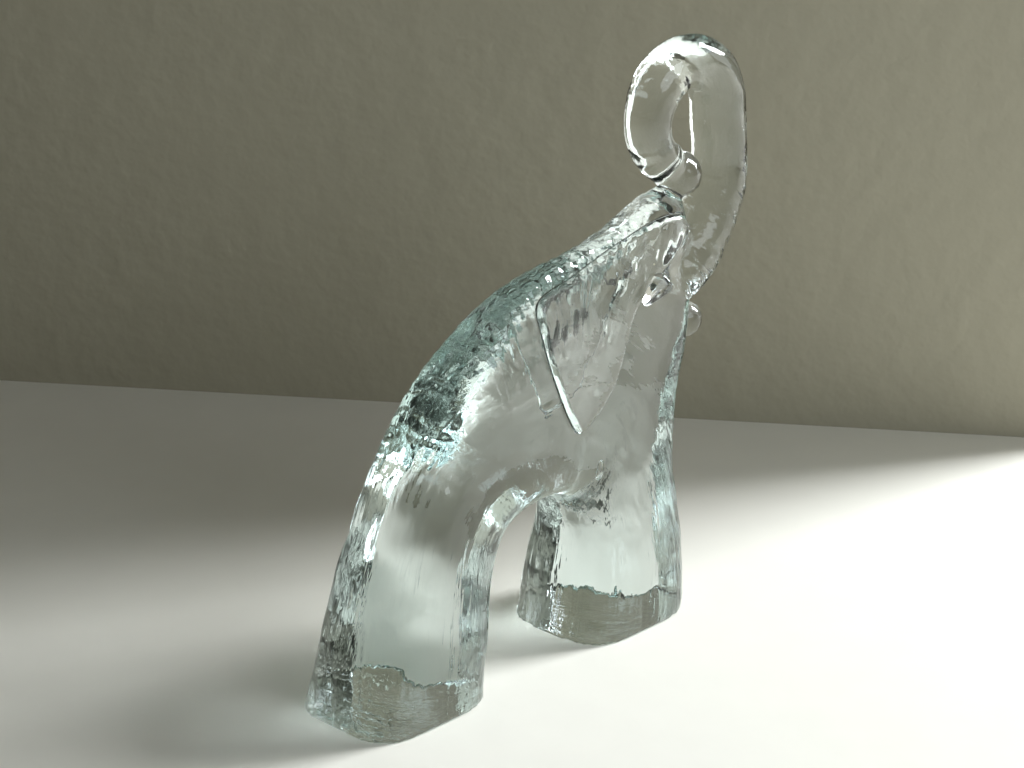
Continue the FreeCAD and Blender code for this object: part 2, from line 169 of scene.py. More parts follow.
# The softboxes: name, place, the height on the figurine that each is aimed at, size and colour. A place
# is counted along the wall, past the figurine towards the wall, and up. Metres.
SOFTBOXES = (
    ("window", (0.60, 0.45, 0.52), 0.03, (0.23, 0.50), (0.90, 0.95, 1.0)),
    ("sky", (0.53, -0.33, 0.45), 0.05, (0.45, 0.42), (0.86, 0.95, 1.0)),
    ("reveal", (0.65, 0.31, 0.25), 0.08, (0.16, 0.50), (0.90, 0.97, 1.0)),
)
ROOM_COLOUR = (0.33, 0.32, 0.27)
ROOM_BRIGHTEST = (0.8, -0.2, 0.56)
# The cosine of the angle from the brightest direction at which the glow is lowest.
GLOW_START = -0.2

# The rest of the stage. Metres, but for the sensor, which is in millimetres.
STAGE_REACH = 3.0
TABLE_TOP = -0.00005
WALL_FOOT = -0.01
CAMERA_TARGET = (-0.0086256, 0, 0.05321)
CAMERA_NEAREST = 0.01
SENSOR_WIDTH = 36.0


# Curves and grids


def natural_spline(rows, count):
    """Rows joined by a natural cubic: on each span a cubic whose slope and bend match its neighbours'."""
    last = len(rows) - 1
    system = np.eye(last + 1)
    bends = np.zeros_like(rows)
    inner = np.arange(1, last)
    system[inner, inner - 1] = 1
    system[inner, inner] = 4
    system[inner, inner + 1] = 1
    bends[1:-1] = 6 * (rows[2:] - 2 * rows[1:-1] + rows[:-2])
    bends = np.linalg.solve(system, bends)
    where = np.linspace(0, last, count)
    span = np.minimum(where.astype(int), last - 1)
    b = (where - span)[:, None]
    a = 1 - b
    return (
        a * rows[span] + b * rows[span + 1]
        + ((a**3 - a) * bends[span] + (b**3 - b) * bends[span + 1]) / 6
    )


def closed_spline(points, count):
    """A closed curve through points: on each span a cubic whose end slopes are half the step between
    the points on either side."""
    number = len(points)
    where = np.linspace(0, number, count, endpoint=False)
    span = where.astype(int)
    b = (where - span)[:, None]
    p0, p1, p2, p3 = (points[(span + step) % number] for step in (-1, 0, 1, 2))
    bend = 2 * p0 - 5 * p1 + 4 * p2 - p3
    twist = 3 * p1 - p0 - 3 * p2 + p3
    return 0.5 * (2 * p1 + (p2 - p0) * b + bend * b**2 + twist * b**3)


def smooth_step(value, low, high):
    """0 below low and 1 above high, and between them three times the square less twice the cube."""
    share = np.clip((value - low) / (high - low), 0, 1)
    return share**2 * (3 - 2 * share)


def band(value, rise, fall):
    """1 between two smooth steps: up over the first range and back down to 0 over the second."""
    return smooth_step(value, *rise) * (1 - smooth_step(value, *fall))


def wander(points, size, turn):
    """A smooth wander of about -1 to 1: the mean of seven sine waves whose directions step round by
    the golden angle and whose lengths lie between 0.7 and 1.3 of the size."""
    number = np.arange(1, 8)
    angle = 2.4 * number + turn
    lift = np.cos(1.7 * number + turn)
    level = np.sqrt(1 - lift**2)
    direction = np.stack([np.cos(angle) * level, np.sin(angle) * level, lift], -1)
    length = size * (0.7 + 0.6 * np.mod(0.618 * number, 1))
    phase = 2 * math.pi * points @ (direction / length[:, None]).T + 3 * angle
    return 1.7 * np.sin(phase).mean(-1)


def closed_grid(grid):
    """A shell from a grid of closed rows: its points, a quad for each cell, and a fan of triangles
    from the middle of each end row."""
    rows, columns = grid.shape[:2]
    points = np.concatenate([grid.reshape(-1, 3), grid[:1].mean(1), grid[-1:].mean(1)])
    index = np.arange(rows * columns).reshape(rows, columns)
    after = np.roll(index, -1, axis=1)
    quads = np.stack([index[:-1], after[:-1], after[1:], index[1:]], -1).reshape(-1, 4)
    first = np.full(columns, rows * columns)
    low = np.stack([first, after[0], index[0]], -1)
    high = np.stack([first + 1, index[-1], after[-1]], -1)
    return points, quads, np.concatenate([low, high])


def volume(shell):
    """Signed volume of a closed shell: a sixth of the triple product of each triangle's corners."""
    points, quads, triangles = shell
    every = np.concatenate([triangles, quads[:, [0, 1, 2]], quads[:, [0, 2, 3]]])
    a, b, c = (points[every[:, corner]] for corner in range(3))
    return np.einsum("ij,ij->", a, np.cross(b, c)) / 6


def facing(shell, way):
    """The shell with its faces turned outwards for way 1, or into its hollow for way -1."""
    points, quads, triangles = shell
    if volume(shell) * way < 0:
        return points, quads[:, ::-1], triangles[:, ::-1]
    return shell


def joined(shells):
    """Several shells as one: points one after the other, and corners counted on from them."""
    starts = np.cumsum([0] + [len(shell[0]) for shell in shells[:-1]])
    points = np.concatenate([shell[0] for shell in shells])
    quads = np.concatenate([shell[1] + start for shell, start in zip(shells, starts)])
    triangles = np.concatenate([shell[2] + start for shell, start in zip(shells, starts)])
    return points, quads, triangles


# Meshes and objects


def to_frame(points):
    """Millimetres counted from the heel, as metres in the frame."""
    return points * MM + np.array([HEEL, 0.0, 0.0])


def from_frame(points):
    """Metres in the frame, as millimetres counted from the heel."""
    return (points - np.array([HEEL, 0.0, 0.0])) / MM


def fill_mesh(mesh, shell):
    """Put a shell into a mesh, smooth and kept inside the CAD model's box."""
    points, quads, triangles = shell
    low, high = (np.array(corner) for corner in CAD_BOX)
    mesh.clear_geometry()
    mesh.from_pydata(np.clip(to_frame(points), low, high), [], quads.tolist() + triangles.tolist())
    mesh.polygons.foreach_set("use_smooth", np.ones(len(mesh.polygons), bool))
    mesh.update()


def new_piece(name, shell):
    """A mesh object at the origin, linked to the scene."""
    mesh = bpy.data.meshes.new(name)
    fill_mesh(mesh, shell)
    piece = bpy.data.objects.new(name, mesh)
    bpy.context.scene.collection.objects.link(piece)
    return piece


def finish_with(piece, kind, **values):
    """Add a modifier with these values and apply it."""
    modifier = piece.modifiers.new(kind, kind)
    for key, value in values.items():
        setattr(modifier, key, value)
    with bpy.context.temp_override(object=piece, active_object=piece, selected_objects=[piece]):
        bpy.ops.object.modifier_apply(modifier=modifier.name)


def read_mesh(mesh):
    """A mesh's points in millimetres from the heel, its normals and its quads."""
    points = np.empty(len(mesh.vertices) * 3)
    mesh.vertices.foreach_get("co", points)
    normals = np.empty(len(mesh.vertices) * 3)
    mesh.vertex_normals.foreach_get("vector", normals)
    corners = np.empty(len(mesh.loops), int)
    mesh.loops.foreach_get("vertex_index", corners)
    if len(mesh.loops) != 4 * len(mesh.polygons):
        raise ValueError("the remeshed glass is expected to be all quads")
    return from_frame(points.reshape(-1, 3)), normals.reshape(-1, 3), corners.reshape(-1, 4)


def write_attribute(mesh, name, values):
    """Store a number or a vector on each point of a mesh."""
    kind, key = ("FLOAT_VECTOR", "vector") if values.ndim == 2 else ("FLOAT", "value")
    attribute = mesh.attributes.new(name, kind, "POINT")
    attribute.data.foreach_set(key, values.astype(np.float32).ravel())


def settle(piece, material, nodes):
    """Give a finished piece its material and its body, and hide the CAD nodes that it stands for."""
    piece.data.materials.clear()
    piece.data.materials.append(material)
    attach(piece, "root")
    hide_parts(*nodes)


# Shapes


def body_grid(rows=220, columns=96):
    """The arch: at each station a squared oval from the belly point to the back point, whose two
    coordinates are the cosine and sine raised to two over the squareness."""
    station = natural_spline(STATIONS, rows)[:, None, :]
    turn = np.linspace(0, 2 * math.pi, columns, endpoint=False)[None, :]
    power = 2 / SQUARENESS
    across = 0.5 - 0.5 * np.sign(np.cos(turn)) * np.abs(np.cos(turn)) ** power
    side = np.sign(np.sin(turn)) * np.abs(np.sin(turn)) ** power
    x = station[..., 0] * (1 - across) + station[..., 2] * across
    z = station[..., 1] * (1 - across) + station[..., 3] * across
    y = (station[..., 4] * (1 - across) + station[..., 5] * across) * side
    return np.stack([x, y, z], -1)


def body_coordinates(places):
    """Where places x, z lie on the arch: the station number, millimetres along the middle line from
    the hind sole, the share of the way from belly to back, and the station row. The station line
    through each place is found by halving the range that it lies in."""
    count = 1401
    table = natural_spline(STATIONS, count)
    middle = (table[:, 0:2] + table[:, 2:4]) / 2
    steps = np.linalg.norm(np.diff(middle, axis=0), axis=1)
    lengths = np.concatenate([[0.0], np.cumsum(steps)])

    def station(where):
        index = np.minimum(where.astype(int), count - 2)
        share = (where - index)[:, None]
        return table[index] * (1 - share) + table[index + 1] * share

    low = np.zeros(len(places))
    high = np.full(len(places), count - 1.0)
    for _ in range(24):
        half_way = (low + high) / 2
        row = station(half_way)
        line = row[:, 2:4] - row[:, 0:2]
        away = places - row[:, 0:2]
        beyond = line[:, 0] * away[:, 1] < line[:, 1] * away[:, 0]
        low = np.where(beyond, half_way, low)
        high = np.where(beyond, high, half_way)
    where = (low + high) / 2
    row = station(where)
    line = row[:, 2:4] - row[:, 0:2]
    across = np.sum((places - row[:, 0:2]) * line, 1) / np.sum(line * line, 1)
    number = where / (count - 1) * (len(STATIONS) - 1)
    return number, np.interp(where, np.arange(count), lengths), across, row


def flank_half_width(places):
    """Half the body's width at places x, z: the squared oval of the station there, solved for y."""
    _, _, across, row = body_coordinates(places)
    off_middle = np.abs(1 - 2 * np.clip(across, 0, 1))
    oval = np.clip(1 - off_middle**SQUARENESS, 0, 1) ** (1 / SQUARENESS)
    return (row[:, 4] * (1 - across) + row[:, 5] * across) * oval


def trunk_path(count):
    """Points and outward directions along the trunk: an arc, a straight and a tighter arc, each
    leaving in the direction in which the one before it ends."""
    sweep_length = TRUNK_SWEEP_RADIUS * (TRUNK_LEAN - TRUNK_START)
    curl_length = TRUNK_CURL_RADIUS * (TRUNK_END - TRUNK_LEAN)
    length = sweep_length + TRUNK_RISE + curl_length
    along = np.linspace(0, length, count)
    out = np.array([math.cos(TRUNK_LEAN), math.sin(TRUNK_LEAN)])
    forward = np.array([-out[1], out[0]])
    knee = TRUNK_CURL + TRUNK_CURL_RADIUS * out - TRUNK_RISE * forward
    sweep = knee - TRUNK_SWEEP_RADIUS * out
    in_sweep = along < sweep_length
    in_curl = along >= sweep_length + TRUNK_RISE
    turn = np.full(count, TRUNK_LEAN)
    turn[in_sweep] = TRUNK_START + along[in_sweep] / TRUNK_SWEEP_RADIUS
    turn[in_curl] += (along[in_curl] - sweep_length - TRUNK_RISE) / TRUNK_CURL_RADIUS
    radial = np.stack([np.cos(turn), np.sin(turn)], -1)
    place = knee + (along - sweep_length)[:, None] * forward
    place[in_sweep] = sweep + TRUNK_SWEEP_RADIUS * radial[in_sweep]
    place[in_curl] = TRUNK_CURL + TRUNK_CURL_RADIUS * radial[in_curl]
    return place, radial, along / length, length


def trunk_grid(count=240, columns=48):
    """A round tube along the trunk's path that tapers and closes with a dome at each end, where the
    radius falls as the square root of one less the square of the share of the dome gone by."""
    place, radial, share, length = trunk_path(count)
    radius = np.interp(share, TRUNK_SHARES, TRUNK_RADII)
    to_end = np.minimum(share, 1 - share) * length
    dome = np.clip(to_end / (TRUNK_DOME * radius), 0, 1)
    radius = radius * np.sqrt(np.maximum(1 - (1 - dome) ** 2, 0.001))
    turn = np.linspace(0, 2 * math.pi, columns, endpoint=False)
    ring = radius[:, None] * np.cos(turn)
    x = place[:, 0, None] + ring * radial[:, 0, None]
    z = place[:, 1, None] + ring * radial[:, 1, None]
    y = radius[:, None] * np.sin(turn)
    return np.stack([x, y, z], -1)


def ball_grid(centre, radii, rows=32, columns=48):
    """An ellipsoid: circles of latitude whose radius is the sine of the angle from its top."""
    down = np.linspace(0.001, math.pi - 0.001, rows)[:, None]
    turn = np.linspace(0, 2 * math.pi, columns, endpoint=False)[None, :]
    unit = (np.sin(down) * np.cos(turn), np.sin(down) * np.sin(turn), np.cos(down))
    return np.array(centre) + np.stack(np.broadcast_arrays(*unit), -1) * np.array(radii)


def ear_shell(side, thickness, sink, rings=34, columns=170):
    """A pad over the flank: rings shrink from the outline to its middle. The outer skin steps off the
    flank in a quarter round at the edge, and the inner skin sinks into it."""
    outline = closed_spline(EAR_OUTLINE, columns)
    share = np.linspace(1, 0.02, rings) ** 1.3
    places = EAR_CENTRE + share[:, None, None] * (outline - EAR_CENTRE)
    flat = places.reshape(-1, 2)
    gap = np.linalg.norm(flat[:, None, :] - outline[None, :, :], axis=-1)
    distance = gap.min(1)
    distance[:columns] = 0
    nearest = outline[gap.argmin(1)]
    low, high = EAR_SOFT_Z
    soft = smooth_step(nearest[:, 0], *EAR_SOFT_X) * smooth_step(-nearest[:, 1], -high, -low)
    step = np.sqrt(1 - (1 - np.clip(distance / (EAR_EDGE + EAR_SOFT_EDGE * soft), 0, 1)) ** 2)
    half = flank_half_width(flat)
    outer = (side * (half + thickness * step)).reshape(rings, columns)
    inner = (side * (half - sink)).reshape(rings, columns)
    x, z = places[..., 0], places[..., 1]
    skins = [np.stack([x, outer, z], -1)[::-1], np.stack([x, inner, z], -1)]
    return facing(closed_grid(np.concatenate(skins)), 1)


def tusk_shell(side, radius, rows=40, columns=28):
    """A drop pulled from the cheek: circles along a straight line that grow quickly at the root,
    shrink towards the tip and close over it, squeezed a little by three flats."""
    root = np.array(TUSK_ROOT) * (1, side, 1)
    line = np.array(TUSK_TIP) * (1, side, 1) - root
    length = np.linalg.norm(line)
    along = line / length
    across = np.cross(along, (0, 1, 0))
    across /= np.linalg.norm(across)
    other = np.cross(along, across)
    share = np.linspace(0, 1, rows)[:, None]
    turn = np.linspace(0, 2 * math.pi, columns, endpoint=False)
    root_dome = np.sqrt(1 - (1 - np.clip(share / TUSK_SWELL, 0, 1)) ** 2)
    tip_dome = np.sqrt(1 - np.clip((share - TUSK_CLOSE) / (1 - TUSK_CLOSE), 0, 1) ** 2)
    taper = 1 - TUSK_NARROWING * share**1.4
    size = np.maximum(radius * root_dome * tip_dome * taper, 0.02) * (1 - TUSK_FLATS * np.cos(3 * turn))
    ring = np.cos(turn)[:, None] * across + np.sin(turn)[:, None] * other
    grid = root + share[..., None] * line + size[..., None] * ring
    return facing(closed_grid(grid), 1)


def worked_skin(points, normals, settings):
    """Points of the glass moved along their normals by the marks of hot working, then the grain and
    the weights of its fine marks. Broad dimples wander all over. Ribs are a sine along the arch, on the
    shoulder, the crown of the head and the belly. Draw lines are a sine across the legs and the spine.
    The trunk has only dimples, and the soles stay flat."""
    number, along, across, row = body_coordinates(points[:, [0, 2]])
    depth = np.linalg.norm(row[:, 2:4] - row[:, 0:2], axis=1)
    height = points[:, 2]
    on_body = 1 - smooth_step(height, *BODY_TOP)
    on_top = np.clip(band(number, *SHOULDER) + CROWN_SHARE * band(number, *CROWN), 0, 1)
    back_ribs = on_top * smooth_step(across, *BACK_SIDE)
    belly_ribs = BELLY_SHARE * band(number, *ARCH) * (1 - smooth_step(across, *BELLY_SIDE))
    legs = 1 - smooth_step(number, *HIND_LEG_END) + smooth_step(number, *FRONT_LEG_START)
    ribs = on_body * np.clip(back_ribs + belly_ribs, 0, 1)
    draw = on_body * np.clip(np.clip(legs, 0, 1) + smooth_step(across, *SPINE), 0, 1)
    patches = 0.75 + 0.35 * wander(points, size=11.0, turn=0.4)
    rib_place = along + 0.8 * wander(points, size=8.0, turn=1.1)
    draw_place = across * depth + points[:, 1] + 0.7 * wander(points, size=9.0, turn=2.3)
    rib_wave = np.sin(2 * math.pi * rib_place / settings.rib_pitch * MM)
    draw_wave = np.sin(2 * math.pi * draw_place / settings.draw_pitch * MM)
    dimples = wander(points, size=17.0, turn=0.9) + 0.5 * wander(points, size=7.0, turn=2.0)
    lift = (
        settings.dimple_height * dimples
        + settings.rib_height * ribs * patches * rib_wave
        + settings.draw_height * draw * patches * draw_wave
    ) / MM
    lift = lift * smooth_step(height, *SOLE)
    grain = np.stack([along, across * depth, points[:, 1]], -1) * MM
    return points + lift[:, None] * normals, grain, ribs * patches, draw


# Materials


def new_group(name, sockets):
    """A shader node group with these inputs and a height as its output, and its two end nodes."""
    group = bpy.data.node_groups.new(name, "ShaderNodeTree")
    for label, kind, default in sockets:
        socket = group.interface.new_socket(label, in_out="INPUT", socket_type=kind)
        socket.default_value = default
    group.interface.new_socket("Height", in_out="OUTPUT", socket_type="NodeSocketFloat")
    return group, group.nodes.new("NodeGroupInput"), group.nodes.new("NodeGroupOutput")


def streak_group():
    """Streaks: noise on coordinates that are stretched first, less its middle value, times a weight."""
    known = bpy.data.node_groups.get("glass_streaks")
    if known:
        return known
    group, given, result = new_group("glass_streaks", [
        ("Coordinates", "NodeSocketVector", (0.0, 0.0, 0.0)),
        ("Stretch", "NodeSocketVector", (1.0, 1.0, 1.0)),
        ("Detail", "NodeSocketFloat", 2.0),
        ("Weight", "NodeSocketFloat", 1.0),
    ])
    nodes, links = group.nodes, group.links
    stretch = nodes.new("ShaderNodeVectorMath")
    stretch.operation = "MULTIPLY"
    noise = nodes.new("ShaderNodeTexNoise")
    noise.inputs["Scale"].default_value = 1.0
    centre = nodes.new("ShaderNodeMath")
    centre.operation = "SUBTRACT"
    centre.inputs[1].default_value = 0.5
    weigh = nodes.new("ShaderNodeMath")
    weigh.operation = "MULTIPLY"
    links.new(given.outputs["Coordinates"], stretch.inputs[0])
    links.new(given.outputs["Stretch"], stretch.inputs[1])
    links.new(stretch.outputs["Vector"], noise.inputs["Vector"])
    links.new(given.outputs["Detail"], noise.inputs["Detail"])
    links.new(noise.outputs["Fac"], centre.inputs[0])
    links.new(centre.outputs["Value"], weigh.inputs[0])
    links.new(given.outputs["Weight"], weigh.inputs[1])
    links.new(weigh.outputs["Value"], result.inputs["Height"])
    return group


def add_streaks(material, coordinates, per_metre, detail, weight):
    """Place the streak group in a material, and return its height."""
    node = material.node_tree.nodes.new("ShaderNodeGroup")
    node.node_tree = streak_group()
    node.inputs["Stretch"].default_value = per_metre
    node.inputs["Detail"].default_value = detail
    material.node_tree.links.new(coordinates, node.inputs["Coordinates"])
    if isinstance(weight, float):
        node.inputs["Weight"].default_value = weight
    else:
        material.node_tree.links.new(weight, node.inputs["Weight"])
    return node.outputs["Height"]


def added(material, heights):
    """The sum of several heights."""
    nodes, links = material.node_tree.nodes, material.node_tree.links
    total = heights[0]
    for height in heights[1:]:
        plus = nodes.new("ShaderNodeMath")
        plus.operation = "ADD"
        links.new(total, plus.inputs[0])
        links.new(height, plus.inputs[1])
        total = plus.outputs["Value"]
    return total


def bump(material, height, distance):
    """Feed a height through a bump into the shader's normal."""
    nodes, links = material.node_tree.nodes, material.node_tree.links
    node = nodes.new("ShaderNodeBump")
    node.inputs["Strength"].default_value = 1.0
    node.inputs["Distance"].default_value = distance
    links.new(height, node.inputs["Height"])
    links.new(node.outputs["Normal"], nodes["Principled BSDF"].inputs["Normal"])


def attribute(material, name):
    """A node that reads one of the piece's attributes."""
    node = material.node_tree.nodes.new("ShaderNodeAttribute")
    node.attribute_name = name
    return node


def clear_glass(name, settings):
    """Colourless soda glass: a plain transmitting shader over a volume that takes a little red."""
    material = bpy.data.materials.new(name)
    material.use_nodes = True
    nodes, links = material.node_tree.nodes, material.node_tree.links
    shader = nodes["Principled BSDF"]
    shader.inputs["Base Color"].default_value = (1, 1, 1, 1)
    shader.inputs["Roughness"].default_value = 0.0
    shader.inputs["IOR"].default_value = settings.refraction
    shader.inputs["Transmission Weight"].default_value = 1.0
    depth = nodes.new("ShaderNodeVolumeAbsorption")
    depth.inputs["Color"].default_value = (*settings.tint, 1)
    depth.inputs["Density"].default_value = settings.tint_density
    links.new(depth.outputs["Volume"], nodes["Material Output"].inputs["Volume"])
    return material


def body_glass(settings):
    """Glass with fine ribs across the arch and draw lines along it, weighted point by point, then flow
    lines and a faint orange-peel skin all over."""
    material = clear_glass("clear_glass_body", settings)
    grain = attribute(material, "grain").outputs["Vector"]
    rib_weight = attribute(material, "ribs").outputs["Fac"]
    draw_weight = attribute(material, "draw").outputs["Fac"]
    heights = [
        add_streaks(material, grain, RIB_STREAKS, 2.0, rib_weight),
        add_streaks(material, grain, DRAW_STREAKS, 2.0, draw_weight),
        add_streaks(material, grain, FLOW_STREAKS, 3.0, FLOW_WEIGHT),
        add_streaks(material, grain, BODY_PEEL, 1.0, BODY_PEEL_WEIGHT),
    ]
    bump(material, added(material, heights), settings.fine_height)
    return material


def bead_glass(settings):
    """Glass that was dropped on hot: only the faint orange-peel skin."""
    known = bpy.data.materials.get("clear_glass_bead")
    if known:
        return known
    material = clear_glass("clear_glass_bead", settings)
    place = material.node_tree.nodes.new("ShaderNodeTexCoord").outputs["Object"]
    bump(material, add_streaks(material, place, BEAD_PEEL, 1.0, BEAD_PEEL_WEIGHT), settings.fine_height)
    return material


def plain_surface(name, colour, roughness, per_metre, height):
    """A matt surface with a soft mottle in its colour and a bump of the same streaks."""
    material = bpy.data.materials.new(name)
    material.use_nodes = True
    nodes, links = material.node_tree.nodes, material.node_tree.links
    shader = nodes["Principled BSDF"]
    shader.inputs["Roughness"].default_value = roughness
    place = nodes.new("ShaderNodeTexCoord").outputs["Object"]
    mottle = add_streaks(material, place, per_metre, 3.0, 0.25)
    shift = nodes.new("ShaderNodeMath")
    shift.operation = "ADD"
    shift.inputs[1].default_value = 0.5
    links.new(mottle, shift.inputs[0])
    mix = nodes.new("ShaderNodeMix")
    mix.data_type = "RGBA"
    links.new(shift.outputs["Value"], mix.inputs["Factor"])
    darker, lighter = 0.9, 1.1
    mix.inputs["A"].default_value = (*(darker * channel for channel in colour), 1)
    mix.inputs["B"].default_value = (*(lighter * channel for channel in colour), 1)
    links.new(mix.outputs["Result"], shader.inputs["Base Color"])
    bump(material, add_streaks(material, place, per_metre, 3.0, 1.0), height)
    return material


# Settings


class GlassSettings(PropertyGroup):
    """The colour of the glass in its depth, and the marks that hot working left in its skin."""

    tint: FloatVectorProperty(
        name="Tint", description="Colour that thick glass takes on",
        subtype="COLOR", size=3, min=0.0, max=1.0, default=(0.82, 0.96, 0.95),
    )
    tint_density: FloatProperty(
        name="Tint density", description="How fast the tint deepens, for each metre of glass",
        min=0.0, default=24.0,
    )
    refraction: FloatProperty(
        name="Refractive index", description="How strongly the glass bends light",
        min=1.0, max=2.5, default=1.5,
    )
    dimple_height: FloatProperty(
        name="Dimple height", description="Height of the broad dimples in the skin",
        subtype="DISTANCE", unit="LENGTH", precision=6, min=0.0, default=0.0002,
    )
    rib_height: FloatProperty(
        name="Rib height", description="Height of the ribs across the shoulder and the head",
        subtype="DISTANCE", unit="LENGTH", precision=6, min=0.0, default=0.00008,
    )
    rib_pitch: FloatProperty(
        name="Rib pitch", description="Distance from one rib to the next",
        subtype="DISTANCE", unit="LENGTH", precision=5, min=0.001, default=0.0021,
    )
    draw_height: FloatProperty(
        name="Draw line height", description="Height of the lines drawn down the legs and the back",
        subtype="DISTANCE", unit="LENGTH", precision=6, min=0.0, default=0.00005,
    )
    draw_pitch: FloatProperty(
        name="Draw line pitch", description="Distance from one draw line to the next",
        subtype="DISTANCE", unit="LENGTH", precision=5, min=0.001, default=0.0026,
    )
    fine_height: FloatProperty(
        name="Fine mark height", description="Height of the finest marks, which only bend the light",
        subtype="DISTANCE", unit="LENGTH", precision=6, min=0.0, default=0.00024,
    )


class BodySettings(PropertyGroup):
    """How the parts of the body are run together."""

    voxel: FloatProperty(
        name="Cell size", description="Size of the cells in which the parts are fused",
        subtype="DISTANCE", unit="LENGTH", precision=5, min=0.0003, default=0.00048,
    )
    smoothing: IntProperty(
        name="Smoothing passes", description="How often the fused skin is relaxed, as flame polish does",
        min=0, max=30, default=6,
    )


class EarSettings(PropertyGroup):
    """The pads laid over the flanks."""

    thickness: FloatProperty(
        name="Thickness", description="How far an ear stands off the flank",
        subtype="DISTANCE", unit="LENGTH", precision=5, min=0.0002, default=0.00125,
    )
    sink: FloatProperty(
        name="Sink", description="How far an ear is sunk into the flank",
        subtype="DISTANCE", unit="LENGTH", precision=5, min=0.0001, default=0.0003,
    )


class DropSettings(PropertyGroup):
    """The drops of glass pulled out as tusks and set on as the lower lip."""

    tusk_radius: FloatProperty(
        name="Tusk radius", description="Radius of a tusk near its root",
        subtype="DISTANCE", unit="LENGTH", precision=5, min=0.0005, default=0.0023,
    )
    lip_radius: FloatProperty(
        name="Lip radius", description="Radius of the bead that makes the lower lip",
        subtype="DISTANCE", unit="LENGTH", precision=5, min=0.0005, default=0.0035,
    )


class StageSettings(PropertyGroup):
    """The table, the wall behind it, the lights and the camera."""

    table_colour: FloatVectorProperty(
        name="Table colour", description="Colour of the table top",
        subtype="COLOR", size=3, min=0.0, max=1.0, default=(0.76, 0.73, 0.65),
    )
    wall_colour: FloatVectorProperty(
        name="Wall colour", description="Colour of the wall behind the figurine",
        subtype="COLOR", size=3, min=0.0, max=1.0, default=(0.42, 0.39, 0.30),
    )
    wall_turn: FloatProperty(
        name="Wall direction", description="Direction from the figurine to the wall, from the way it faces",
        subtype="ANGLE", unit="ROTATION", default=math.radians(35.57),
    )
    wall_distance: FloatProperty(
        name="Wall distance", description="Distance from the figurine to the wall",
        subtype="DISTANCE", unit="LENGTH", min=0.1, default=0.1185,
    )
    wall_end: FloatProperty(
        name="Wall end", description="How far along the wall the window begins",
        subtype="DISTANCE", unit="LENGTH", default=0.110,
    )
    window_power: FloatProperty(
        name="Window power", description="Power of the light that stands for the window",
        subtype="POWER", unit="POWER", min=0.0, default=15.5,
    )
    sky_power: FloatProperty(
        name="Sky power", description="Power of the soft cool light on the window side",
        subtype="POWER", unit="POWER", min=0.0, default=2.0,
    )
    reveal_power: FloatProperty(
        name="Reveal power", description="Power of the light off the side of the window opening",
        subtype="POWER", unit="POWER", min=0.0, default=0.45,
    )
    room_strength: FloatProperty(
        name="Room strength", description="How strongly the room lights the table and the wall",
        min=0.0, default=0.16,
    )
    glow_low: FloatProperty(
        name="Lowest glow", description="How bright the darkest side of the room looks in the glass",
        min=0.0, default=0.25,
    )
    glow_high: FloatProperty(
        name="Highest glow", description="How bright the brightest side of the room looks in the glass",
        min=0.0, default=2.0,
    )
    camera_azimuth: FloatProperty(
        name="Camera azimuth", description="Direction that the camera stands in",
        subtype="ANGLE", unit="ROTATION", default=math.radians(-45.55),
    )
    camera_elevation: FloatProperty(
        name="Camera elevation", description="Angle of the camera above the table",
        subtype="ANGLE", unit="ROTATION", default=math.radians(20.33),
    )
    camera_distance: FloatProperty(
        name="Camera distance", description="Distance of the camera from what it looks at",
        subtype="DISTANCE", unit="LENGTH", min=0.1, default=0.47174,
    )
    camera_lens: FloatProperty(
        name="Lens", description="Focal length of the camera",
        subtype="DISTANCE_CAMERA", unit="CAMERA", min=10.0, default=91.4,
    )


class ElephantSettings(PropertyGroup):
    """All the sizes and colours."""

    glass: PointerProperty(type=GlassSettings)
    body: PointerProperty(type=BodySettings)
    ears: PointerProperty(type=EarSettings)
    drops: PointerProperty(type=DropSettings)
    stage: PointerProperty(type=StageSettings)


# Operators


class ELEPHANT_OT_body(Operator):
    """Fuse the arched body, the legs, the weld and the trunk into one piece of glass"""

    bl_idname = "glass_elephant.body"
    bl_label = "Body and Trunk"

    def execute(self, context):
        settings = context.scene.glass_elephant
        shells = [body_grid(), trunk_grid(), ball_grid(WELD_CENTRE, WELD_RADII)]
        piece = new_piece("glass_body", joined([facing(closed_grid(grid), 1) for grid in shells]))
        finish_with(piece, "REMESH", mode="VOXEL", voxel_size=settings.body.voxel, use_smooth_shade=True)
        finish_with(piece, "SMOOTH", factor=0.5, iterations=settings.body.smoothing)
        points, normals, quads = read_mesh(piece.data)
        points, grain, ribs, draw = worked_skin(points, normals, settings.glass)
        bubble = facing(closed_grid(ball_grid(BUBBLE_CENTRE, BUBBLE_RADII)), -1)
        fused = (points, quads, np.empty((0, 3), int))
        fill_mesh(piece.data, joined([fused, bubble]))
        for name, values in (("grain", grain), ("ribs", ribs), ("draw", draw)):
            unmarked = np.zeros((len(bubble[0]), *values.shape[1:]))
            write_attribute(piece.data, name, np.concatenate([values, unmarked]))
        nodes = ("hind_leg", "torso", "head", "front_leg", "trunk", "trunk_tip")
        settle(piece, body_glass(settings.glass), nodes)
        return {"FINISHED"}


class ELEPHANT_OT_ears(Operator):
    """Lay an ear on each flank"""

    bl_idname = "glass_elephant.ears"
    bl_label = "Ears"

    def execute(self, context):
        settings = context.scene.glass_elephant
        thickness, sink = settings.ears.thickness / MM, settings.ears.sink / MM
        for side, node in ((-1, "right_ear"), (1, "left_ear")):
            piece = new_piece(f"{node}_pad", ear_shell(side, thickness, sink))
            settle(piece, bead_glass(settings.glass), [node])
        return {"FINISHED"}


